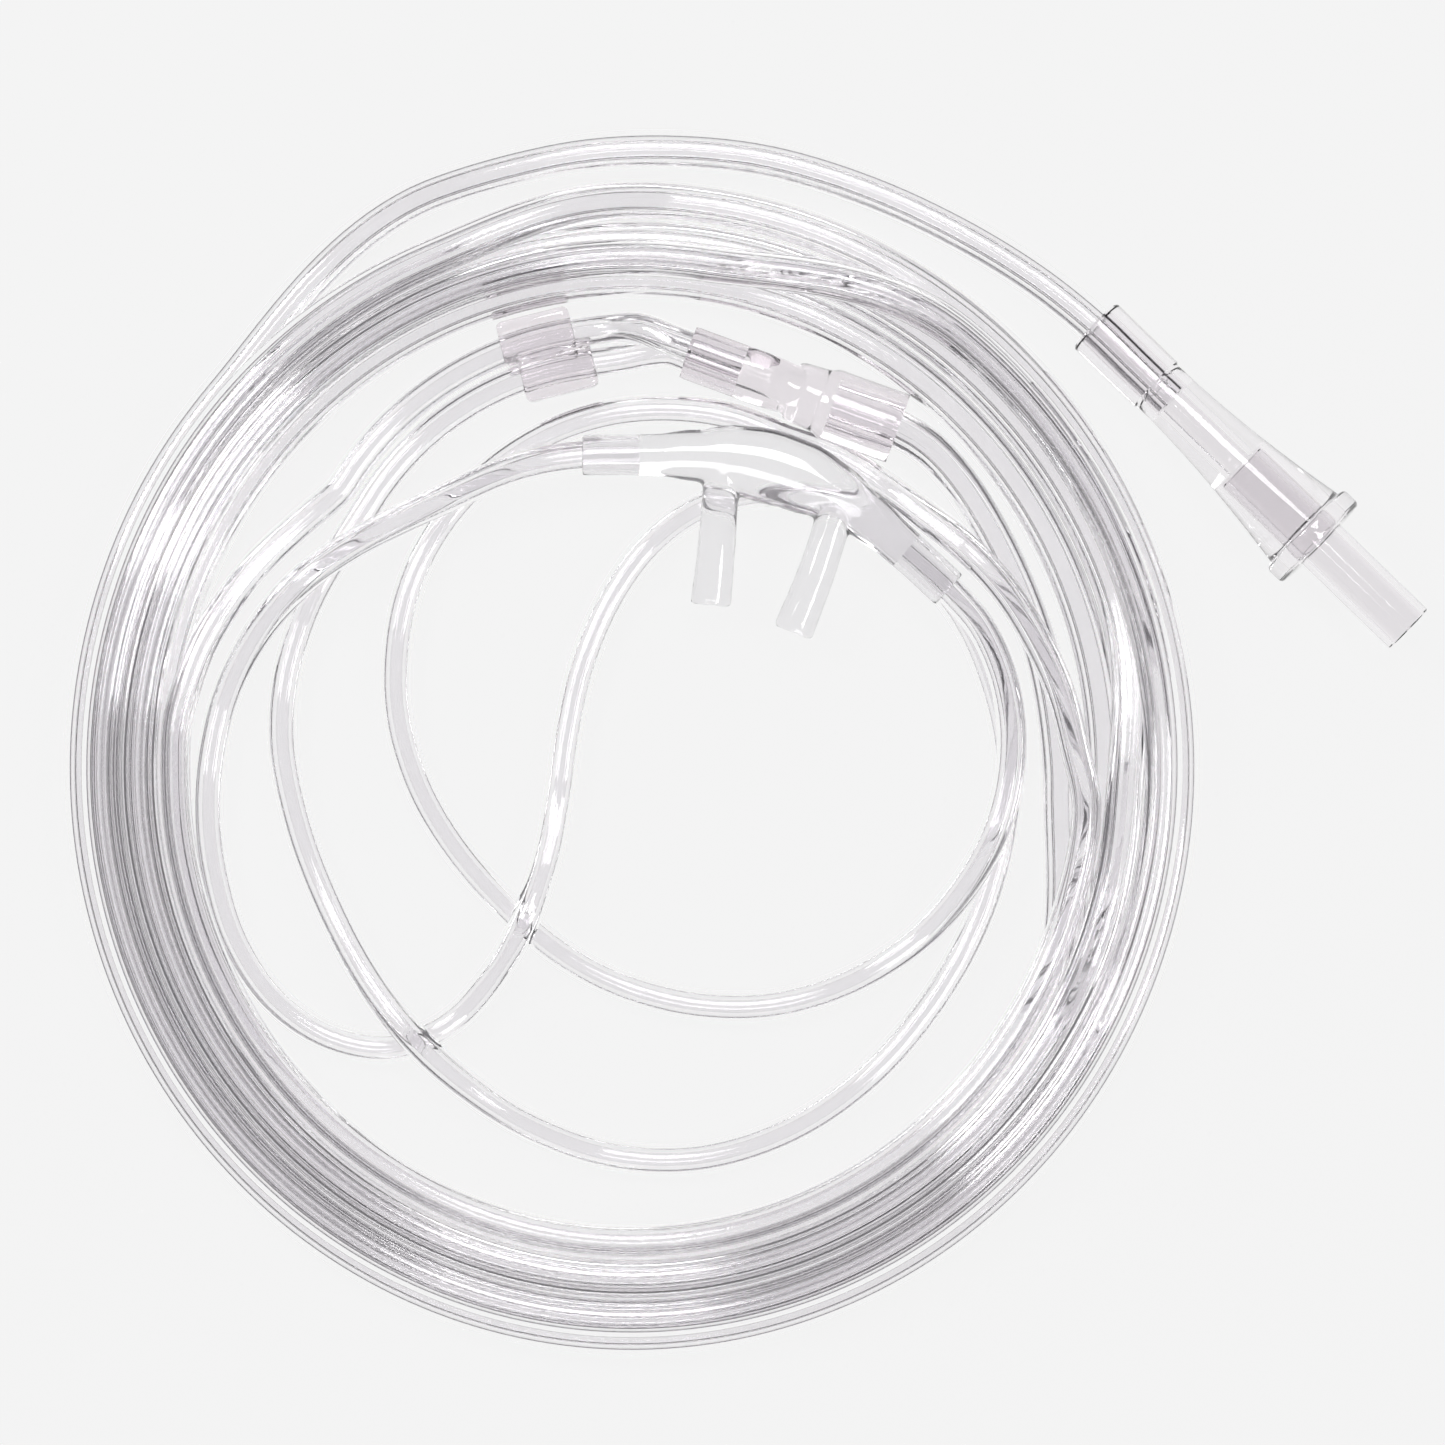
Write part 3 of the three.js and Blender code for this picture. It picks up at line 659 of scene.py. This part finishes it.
def lumen_skin(name, tint):
    """The wall of a lumen: seen through where it faces the eye, refracting towards its edges."""
    material = clear_vinyl(name, tint, roughness=0.04, milk=0.0, grain_scale=260.0, grain_strength=0.02)
    nodes, links = material.node_tree.nodes, material.node_tree.links
    facing = nodes.new("ShaderNodeLayerWeight")
    facing.inputs["Blend"].default_value = 0.5
    share = nodes.new("ShaderNodeMapRange")
    share.inputs["From Min"].default_value = 0.35
    share.inputs["From Max"].default_value = 0.85
    share.inputs["To Min"].default_value = 0.12
    share.inputs["To Max"].default_value = 0.9
    links.new(facing.outputs["Facing"], share.inputs["Value"])
    links.new(share.outputs["Result"], nodes["Principled BSDF"].inputs["Alpha"])
    return material


def dress(obj, *materials):
    obj.data.materials.clear()
    for material in materials:
        obj.data.materials.append(material)


# Operators


class CANNULA_OT_stage(bpy.types.Operator):
    """Add the pale ground, the soft lights and the camera that looks straight down"""

    bl_idname = "cannula.stage"
    bl_label = "Stage"

    def execute(self, context):
        scene = context.scene
        colours = scene.cannula_colours
        scene.view_settings.view_transform = "Standard"
        frame_width = PHOTO_WIDTH / PIXELS_PER_MM * MM
        tube_height = 0.003
        photo_middle = placed(PHOTO_MIDDLE)
        camera_data = bpy.data.cameras.new("camera")
        camera_data.lens = LENS
        camera_data.sensor_width = SENSOR
        camera_data.clip_end = 20.0
        camera = bpy.data.objects.new("camera", camera_data)
        camera.location = photo_middle + Vector((0, 0, frame_width * LENS / SENSOR + tube_height))
        scene.collection.objects.link(camera)
        scene.camera = camera

        deselect_all()
        bpy.ops.mesh.primitive_plane_add(size=6.0, location=(0, 0, -0.0002))
        ground = context.object
        ground.name = "ground"
        bpy.ops.object.transform_apply(location=True, rotation=True, scale=True)
        material = bpy.data.materials.new("pale_ground")
        material.use_nodes = True
        shader = material.node_tree.nodes["Principled BSDF"]
        shader.inputs["Base Color"].default_value = (0.02, 0.02, 0.02, 1)
        shader.inputs["Roughness"].default_value = 0.9
        shader.inputs["Specular IOR Level"].default_value = 0.0
        shader.inputs["Emission Color"].default_value = (*colours.ground, 1)
        shader.inputs["Emission Strength"].default_value = 0.975
        ground.data.materials.append(material)

        world = bpy.data.worlds.new("surroundings")
        world.use_nodes = True
        nodes, links = world.node_tree.nodes, world.node_tree.links
        direction = nodes.new("ShaderNodeTexCoord")
        height = nodes.new("ShaderNodeSeparateXYZ")
        room = nodes.new("ShaderNodeValToRGB")
        links.new(direction.outputs["Generated"], height.inputs["Vector"])
        links.new(height.outputs["Z"], room.inputs["Fac"])
        links.new(room.outputs["Color"], nodes["Background"].inputs["Color"])

        # Light and dark bands by height, as positions and brightness, give clear tubes their edge lines
        stops = ((0.0, 0.46), (0.08, 0.46), (0.11, 0.015), (0.32, 0.015), (0.38, 0.26), (0.80, 0.16))
        bands = room.color_ramp.elements
        while len(bands) < len(stops):
            bands.new(1.0)
        for band, (place, shade) in zip(bands, stops):
            band.position = place
            band.color = (shade, shade * 0.965, shade * 1.02, 1)
        scene.world = world

        # Each light's name, place from the middle of the photo, side and power
        lights = [
            ("window_left", (-0.55, 0.35, 0.75), 0.30, 5.0),
            ("window_right", (0.6, -0.2, 0.8), 0.24, 3.0),
            ("top_panel", (0.05, 0.5, 1.1), 0.35, 4.4),
        ]
        for name, place, size, power in lights:
            data = bpy.data.lights.new(name, "AREA")
            data.shape = "SQUARE"
            data.size = size
            data.energy = power
            light = bpy.data.objects.new(name, data)
            light.location = photo_middle + Vector(place)
            light.rotation_euler = (photo_middle - light.location).to_track_quat("-Z", "Y").to_euler()
            scene.collection.objects.link(light)
        return {"FINISHED"}


class CANNULA_OT_supply_tube(bpy.types.Operator):
    """Add the star-lumen supply tube from the Y connector through its coil to the end connector"""

    bl_idname = "cannula.supply_tube"
    bl_label = "Supply tube"

    def execute(self, context):
        sizes = context.scene.cannula_sizes
        colours = context.scene.cannula_colours
        od = sizes.supply_diameter / MM
        matrix = connector_matrix()
        socket = [
            matrix @ Vector((CONNECTOR_LENGTH - depth, 0, 0))
            for depth in (SUPPLY_SOCKET_DEPTH - GAP, SUPPLY_SOCKET_DEPTH / 2, 0.0)
        ]
        end = end_matrix()
        collar = [
            end @ Vector((depth, 0, 0))
            for depth in (0.0, COLLAR_BORE_DEPTH / 2, COLLAR_BORE_DEPTH - GAP)
        ]
        points = socket + LEAD[:-1] + coil_points(od) + TAIL[1:] + collar
        route = [placed(p) for p in smooth_route(points, SUPPLY_RING_STEP)]
        tube = hollow_tube(
            "supply_tube", route, sizes.supply_diameter / 2, sizes.supply_lumen / 2,
            round_section(TUBE_SIDES), star_section(points=5, depth=0.13, per_point=6),
        )
        vinyl = clear_vinyl(
            "supply_vinyl", colours.tubing,
            roughness=0.05, milk=0.01, grain_scale=260.0, grain_strength=0.035,
        )
        dress(tube, vinyl, lumen_skin("supply_lumen", colours.tubing))
        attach(tube, "cannula")
        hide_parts("supply_tube_lead", "supply_coil", "supply_tube_tail")
        return {"FINISHED"}


class CANNULA_OT_lariat_tubes(bpy.types.Operator):
    """Add the two thin tubes from the nosepiece through the slider to the Y connector"""

    bl_idname = "cannula.lariat_tubes"
    bl_label = "Lariat tubes"

    def execute(self, context):
        sizes = context.scene.cannula_sizes
        colours = context.scene.cannula_colours
        supply_od = sizes.supply_diameter / MM
        lariat_od = sizes.lariat_diameter / MM
        half_pitch = (lariat_od + GAP) / 2
        vinyl = clear_vinyl(
            "lariat_vinyl", colours.tubing,
            roughness=0.045, milk=0.01, grain_scale=300.0, grain_strength=0.035,
        )
        lumen = lumen_skin("lariat_lumen", colours.tubing)
        left = LEFT_START + slide_arc(-half_pitch) + LEFT_END + leg_insert(-1)
        right = (
            RIGHT_START + shoulder(supply_od, lariat_od) + RIGHT_OFF
            + slide_arc(half_pitch) + RIGHT_END + leg_insert(1)
        )
        for side, points in (("left", left), ("right", right)):
            route = [placed(p) for p in smooth_route(points, LARIAT_RING_STEP)]
            tube = hollow_tube(
                f"{side}_lariat", route, sizes.lariat_diameter / 2, sizes.lariat_lumen / 2,
                round_section(TUBE_SIDES), round_section(LUMEN_SIDES),
            )
            dress(tube, vinyl, lumen)
            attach(tube, "cannula")
            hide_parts(f"{side}_lariat_tube")
        return {"FINISHED"}


class CANNULA_OT_nosepiece(bpy.types.Operator):
    """Add the soft nosepiece with its two prongs, its sockets and its open bores"""

    bl_idname = "cannula.nosepiece"
    bl_label = "Nosepiece"

    def execute(self, context):
        sizes = context.scene.cannula_sizes
        colours = context.scene.cannula_colours
        axis = [Vector((x, y, NOSE_HEIGHT)) for x, y in NOSE_AXIS]
        body = solid_rod(
            "nose_body", axis, NOSE_HALF_WIDTHS, sides=56, step=0.5, half_height=NOSE_HALF_HEIGHT,
        )
        tip = sizes.prong_diameter / MM / 2
        prongs = [
            solid_rod(f"prong_{k}", points, [tip * share for share in PRONG_SHARES])
            for k, points in enumerate(PRONG_AXES)
        ]
        nose = moulded([body] + prongs, voxel=0.26, smoothing=8)
        bore = sizes.prong_bore / MM / 2
        for points in PRONG_AXES:
            line = [Vector(p) for p in points]
            line.append(line[-1] + (line[-1] - line[-2]).normalized() * NOSE_PAST)
            cut(nose, solid_rod("prong_bore", line, [bore * share for share in PRONG_BORE_SHARES], sides=36))
        cut(nose, solid_rod("lumen", axis, [NOSE_LUMEN_RADIUS] * 2, sides=32))
        for end, inner in ((axis[0], axis[1]), (axis[-1], axis[-2])):
            inward = (inner - end).normalized()
            line = [end - inward * NOSE_PAST, end + inward * NOSE_SOCKET_DEPTH]
            cut(nose, solid_rod("socket", line, [NOSE_SOCKET_RADIUS] * 2, sides=36, step=2.0))
        settle(nose, Matrix.Identity(4), "nosepiece_moulding")
        dress(nose, clear_vinyl(
            "soft_vinyl", colours.soft,
            roughness=0.05, milk=0.05, grain_scale=200.0, grain_strength=0.05,
        ))
        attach(nose, "cannula")
        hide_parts("nosepiece")
        return {"FINISHED"}


class CANNULA_OT_slider(bpy.types.Operator):
    """Add the slider block with the two joined bores that run on the lariat tubes"""

    bl_idname = "cannula.slider"
    bl_label = "Slider"

    def execute(self, context):
        sizes = context.scene.cannula_sizes
        colours = context.scene.cannula_colours
        half_width = SLIDER_WIDTH / 2
        collars = []
        ends = (
            (-half_width, SLIDER_OVERLAP, -SLIDER_STEP / 2),
            (-SLIDER_OVERLAP, half_width, SLIDER_STEP / 2),
        )
        for near, far, ahead in ends:
            deselect_all()
            middle = (ARC_RADIUS + (near + far) / 2, ahead, SLIDER_HEIGHT / 2)
            bpy.ops.mesh.primitive_cube_add(size=1.0, location=middle)
            collar = context.object
            collar.scale = (far - near, SLIDER_COLLAR, SLIDER_HEIGHT)
            bpy.ops.object.transform_apply(location=True, rotation=True, scale=True)
            apply_modifier(collar, "BEVEL", width=0.8, segments=5)
            collars.append(collar)
        block, outer = collars
        apply_modifier(block, "BOOLEAN", operation="UNION", solver="EXACT", object=outer)
        bpy.data.objects.remove(outer, do_unlink=True)
        turn = Matrix.Rotation(math.radians(SLIDER_ANGLE), 4, "Z")
        block.data.transform(Matrix.Translation(ARC_CENTRE) @ turn)
        half_pitch = (sizes.lariat_diameter / MM + GAP) / 2
        bore = sizes.lariat_diameter / MM / 2 + SLIDER_PLAY
        start = SLIDER_ANGLE - SLIDER_BORE_REACH
        for side in (-1, 1):
            radius = ARC_RADIUS + side * half_pitch
            line = [
                on_arc(radius, start + 2 * SLIDER_BORE_REACH * k / SLIDER_BORE_STEPS)
                for k in range(SLIDER_BORE_STEPS + 1)
            ]
            cut(block, solid_rod("bore", line, [bore, bore]))
        settle(block, Matrix.Identity(4), "slider_block")
        dress(block, clear_vinyl(
            "slider_vinyl", colours.fitting,
            roughness=0.06, milk=0.03, grain_scale=220.0, grain_strength=0.06,
        ))
        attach(block, "slider")
        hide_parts("slider")
        return {"FINISHED"}


class CANNULA_OT_y_connector(bpy.types.Operator):
    """Add the Y connector with its two leg sockets, hub and supply socket"""

    bl_idname = "cannula.y_connector"
    bl_label = "Y connector"

    def execute(self, context):
        colours = context.scene.cannula_colours
        hub_start = LEG_LENGTH + LEG_BLEND
        hub_end = hub_start + HUB_LENGTH
        socket_radius = SUPPLY_SOCKET_OD / 2
        barrel_places = (hub_start - HUB_LEAD_IN, hub_start + HUB_SHOULDER, hub_end, CONNECTOR_LENGTH)
        barrel_radii = [HUB_OD / 2 - inset for inset in HUB_INSETS]
        barrel_radii += [socket_radius - SUPPLY_SOCKET_STEP] + [socket_radius] * 7
        parts = [solid_rod("barrel", [(x, 0, 0) for x in barrel_places], barrel_radii, sides=64)]
        for side in (-1, 1):
            offset = side * LEG_PITCH / 2
            line = [
                (0, 0, offset), (LEG_LENGTH / 2, 0, offset), (LEG_LENGTH, 0, offset),
                (hub_start, 0, offset * LEG_SPREAD_AT_HUB),
                (hub_start + CHANNEL_RUN, 0, offset * LEG_SPREAD_IN_HUB),
            ]
            parts.append(solid_rod("leg", line, [LEG_OD / 2, LEG_OD / 2]))
        body = moulded(parts, voxel=0.22, smoothing=3)

        # The supply socket and the narrower bore behind it, which overlap so that they join
        line = [(CONNECTOR_LENGTH - SUPPLY_SOCKET_DEPTH, 0, 0), (CONNECTOR_LENGTH + CONNECTOR_PAST, 0, 0)]
        cut(body, solid_rod("supply_bore", line, [SUPPLY_BORE_RADIUS] * 2, sides=48, step=2.0))
        line = [(hub_start, 0, 0), (CONNECTOR_LENGTH - HUB_BORE_STOP, 0, 0)]
        cut(body, solid_rod("hub_bore", line, [CHANNEL_RADIUS] * 2, sides=32, step=2.0))
        for side in (-1, 1):
            offset = side * LEG_PITCH / 2
            line = [(-CONNECTOR_PAST, 0, offset), (LEG_SOCKET, 0, offset)]
            cut(body, solid_rod("leg_bore", line, [LEG_BORE_RADIUS] * 2, step=2.0))
            line = [
                (LEG_SOCKET - CHANNEL_OVERLAP, 0, offset), (LEG_LENGTH, 0, offset),
                (hub_start, 0, offset / 2), (hub_start + CHANNEL_RUN, 0, 0),
            ]
            cut(body, solid_rod("channel", line, [CHANNEL_RADIUS] * 2, sides=28))
        settle(body, connector_matrix(), "y_moulding")
        dress(body, clear_vinyl(
            "fitting_vinyl", colours.fitting,
            roughness=0.05, milk=0.02, grain_scale=220.0, grain_strength=0.05,
        ))
        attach(body, "cannula")
        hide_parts("y_connector")
        return {"FINISHED"}


class CANNULA_OT_end_connector(bpy.types.Operator):
    """Add the end connector with its collar, funnel and rim, and the nipple inside it"""

    bl_idname = "cannula.end_connector"
    bl_label = "End connector"

    def execute(self, context):
        colours = context.scene.cannula_colours
        collar = COLLAR_OD / 2
        outside = [
            (0.0, SUPPLY_BORE_RADIUS), (0.0, collar - COLLAR_EDGE), (COLLAR_EDGE, collar),
            (COLLAR_LENGTH - COLLAR_STEP, collar), (COLLAR_LENGTH, collar - COLLAR_STEP),
        ]
        funnel_from = COLLAR_LENGTH + FUNNEL_INSET
        funnel_run = RIM_START - 2 * FUNNEL_INSET - COLLAR_LENGTH
        flare = FUNNEL_END_RADIUS - FUNNEL_START_RADIUS
        for i in range(FUNNEL_STEPS + 1):
            share = i / FUNNEL_STEPS
            radius = FUNNEL_START_RADIUS + flare * share ** FUNNEL_FLARE
            outside.append((funnel_from + funnel_run * share, radius))
        rim_end = RIM_START + RIM_THICKNESS
        flat = RIM_OD / 2 - RIM_ROUND
        quarter = [math.radians(90 / RIM_STEPS * k) for k in range(RIM_STEPS + 1)]
        for angle in quarter:
            along = RIM_START + RIM_ROUND * (1 - math.cos(angle))
            outside.append((along, flat + RIM_ROUND * math.sin(angle)))
        for angle in quarter:
            along = rim_end - RIM_ROUND * (1 - math.sin(angle))
            outside.append((along, flat + RIM_ROUND * math.cos(angle)))
        nipple_bore = NIPPLE_OD / 2 + NIPPLE_ROOM
        inside = [
            (rim_end, nipple_bore), (NIPPLE_START - GAP, nipple_bore), (NIPPLE_START - GAP, THROAT_RADIUS),
            (COLLAR_BORE_DEPTH, THROAT_RADIUS), (COLLAR_BORE_DEPTH, SUPPLY_BORE_RADIUS),
        ]
        body = turned("end_body", outside + inside)
        settle(body, end_matrix(), "end_moulding")
        dress(body, clear_vinyl(
            "end_vinyl", colours.connector,
            roughness=0.04, milk=0.0, grain_scale=220.0, grain_strength=0.04,
        ))
        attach(body, "cannula")
        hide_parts("end_connector")

        inner = NIPPLE_OD / 2 - NIPPLE_WALL
        outer = NIPPLE_OD / 2
        profile = [
            (NIPPLE_START, inner), (NIPPLE_START, outer - NIPPLE_EDGE), (NIPPLE_START + NIPPLE_EDGE, outer),
            (NIPPLE_END - NIPPLE_EDGE, outer), (NIPPLE_END, outer - NIPPLE_EDGE), (NIPPLE_END, inner),
        ]
        nipple = turned("nipple_body", profile)
        settle(nipple, end_matrix(), "nipple_tube")
        dress(nipple, clear_vinyl(
            "nipple_vinyl", colours.connector,
            roughness=0.04, milk=0.0, grain_scale=220.0, grain_strength=0.04,
        ))
        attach(nipple, "cannula")
        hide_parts("outlet_nipple")
        return {"FINISHED"}


class CANNULA_PT_panel(bpy.types.Panel):
    """Lists the steps that build the cannula"""

    bl_idname = "CANNULA_PT_panel"
    bl_label = "Cannula"
    bl_space_type = "VIEW_3D"
    bl_region_type = "UI"
    bl_category = "Cannula"

    def draw(self, context):
        for step in STEPS:
            self.layout.operator(step.bl_idname)


STEPS = (
    CANNULA_OT_stage,
    CANNULA_OT_end_connector,
    CANNULA_OT_supply_tube,
    CANNULA_OT_lariat_tubes,
    CANNULA_OT_nosepiece,
    CANNULA_OT_slider,
    CANNULA_OT_y_connector,
)

CLASSES = (CannulaSizes, CannulaColours) + STEPS + (CANNULA_PT_panel,)


def register():
    for item in CLASSES:
        bpy.utils.register_class(item)
    bpy.types.Scene.cannula_sizes = bpy.props.PointerProperty(type=CannulaSizes)
    bpy.types.Scene.cannula_colours = bpy.props.PointerProperty(type=CannulaColours)


def unregister():
    del bpy.types.Scene.cannula_colours
    del bpy.types.Scene.cannula_sizes
    for item in reversed(CLASSES):
        bpy.utils.unregister_class(item)


def main():
    register()
    bpy.ops.cannula.stage()
    bpy.ops.cannula.end_connector()
    bpy.ops.cannula.supply_tube()
    bpy.ops.cannula.lariat_tubes()
    bpy.ops.cannula.nosepiece()
    bpy.ops.cannula.slider()
    bpy.ops.cannula.y_connector()


if __name__ == "__main__":
    main()
